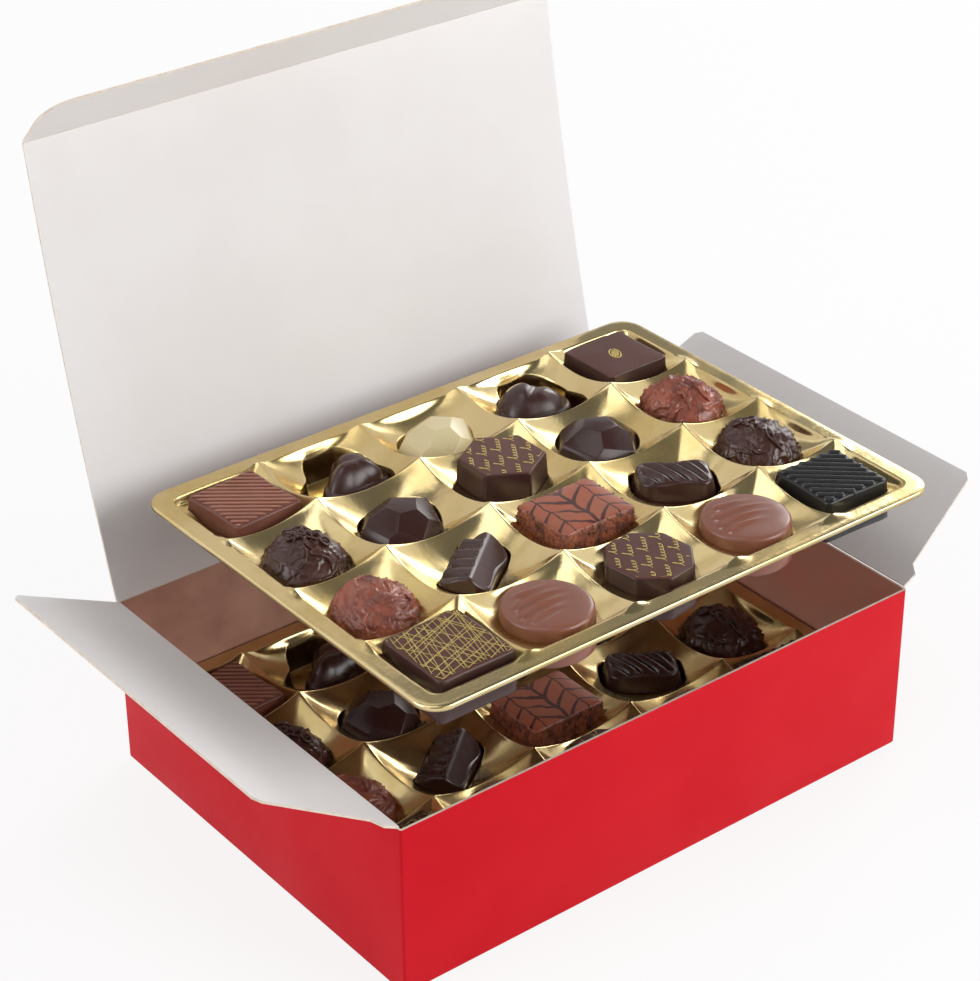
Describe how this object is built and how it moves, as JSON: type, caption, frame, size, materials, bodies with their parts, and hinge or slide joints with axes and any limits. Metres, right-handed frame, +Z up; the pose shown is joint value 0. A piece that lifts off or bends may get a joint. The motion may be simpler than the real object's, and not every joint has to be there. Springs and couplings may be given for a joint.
{
  "type": "box of chocolate pralines",
  "caption": "Red folding carton of assorted chocolate pralines, open, with two gold moulded trays, the upper tray held level above the carton.",
  "frame": {"origin": "middle of the carton's underside", "axes": "+X along the carton's long side to the right, +Y to the back where the lid is hinged, +Z up"},
  "size_m": [0.2858, 0.1917, 0.2278],
  "materials": {
    "board": "satin red outside, uncoated white inside",
    "tray_foil": "thin gold-metallised plastic, clear brownish underneath",
    "dark_chocolate": "soft gloss",
    "milk_chocolate": "satin",
    "white_chocolate": "satin",
    "black_chocolate": "gloss"
  },
  "bodies": {
    "carton": {"box_body": "board", "lower_bean": "dark_chocolate", "lower_cross_line_square": "dark_chocolate", "lower_dark_truffle_shaggy": "dark_chocolate", "lower_dark_truffle_spiky": "dark_chocolate", "lower_emblem_square": "dark_chocolate", "lower_facet_oval_dark": "dark_chocolate", "lower_facet_oval_ivory": "white_chocolate", "lower_facet_round_dark": "dark_chocolate", "lower_heart": "dark_chocolate", "lower_hexagon_tall": "dark_chocolate", "lower_leaf_bar": "dark_chocolate", "lower_line_square": "milk_chocolate", "lower_marbled_square": "milk_chocolate", "lower_milk_truffle_folded": "milk_chocolate", "lower_milk_truffle_swirl": "milk_chocolate", "lower_octagon": "dark_chocolate", "lower_ribbed_square": "black_chocolate", "lower_ridged_bar": "dark_chocolate", "lower_ridged_disc_left": "milk_chocolate", "lower_ridged_disc_right": "milk_chocolate", "tray_lower": "tray_foil", "tray_upper": "tray_foil", "upper_bean": "dark_chocolate", "upper_cross_line_square": "dark_chocolate", "upper_dark_truffle_shaggy": "dark_chocolate", "upper_dark_truffle_spiky": "dark_chocolate", "upper_emblem_square": "dark_chocolate", "upper_facet_oval_dark": "dark_chocolate", "upper_facet_oval_ivory": "white_chocolate", "upper_facet_round_dark": "dark_chocolate", "upper_heart": "dark_chocolate", "upper_hexagon_tall": "dark_chocolate", "upper_leaf_bar": "dark_chocolate", "upper_line_square": "milk_chocolate", "upper_marbled_square": "milk_chocolate", "upper_milk_truffle_folded": "milk_chocolate", "upper_milk_truffle_swirl": "milk_chocolate", "upper_octagon": "dark_chocolate", "upper_ribbed_square": "black_chocolate", "upper_ridged_bar": "dark_chocolate", "upper_ridged_disc_left": "milk_chocolate", "upper_ridged_disc_right": "milk_chocolate"},
    "lid": {"lid": "board"},
    "tuck": {"tuck_flap": "board"},
    "left_flap": {"flap_left": "board"},
    "right_flap": {"flap_right": "board"}
  },
  "joints": [
    {"name": "lid_crease", "type": "hinge", "parent": "carton", "child": "lid", "pos_m": [0, 0.077, 0.0613], "axis": [1, 0, 0], "range_deg": [-76, 22]},
    {"name": "tuck_crease", "type": "hinge", "parent": "lid", "child": "tuck", "pos_m": [0, 0.1093, 0.21071], "axis": [1, 0, 0], "range_deg": [-53, 47]},
    {"name": "left_flap_crease", "type": "hinge", "parent": "carton", "child": "left_flap", "pos_m": [-0.1025, 0, 0.0613], "axis": [0, 1, 0], "range_deg": [-105, 49]},
    {"name": "right_flap_crease", "type": "hinge", "parent": "carton", "child": "right_flap", "pos_m": [0.1025, 0, 0.0613], "axis": [0, -1, 0], "range_deg": [-105, 49]}
  ]
}
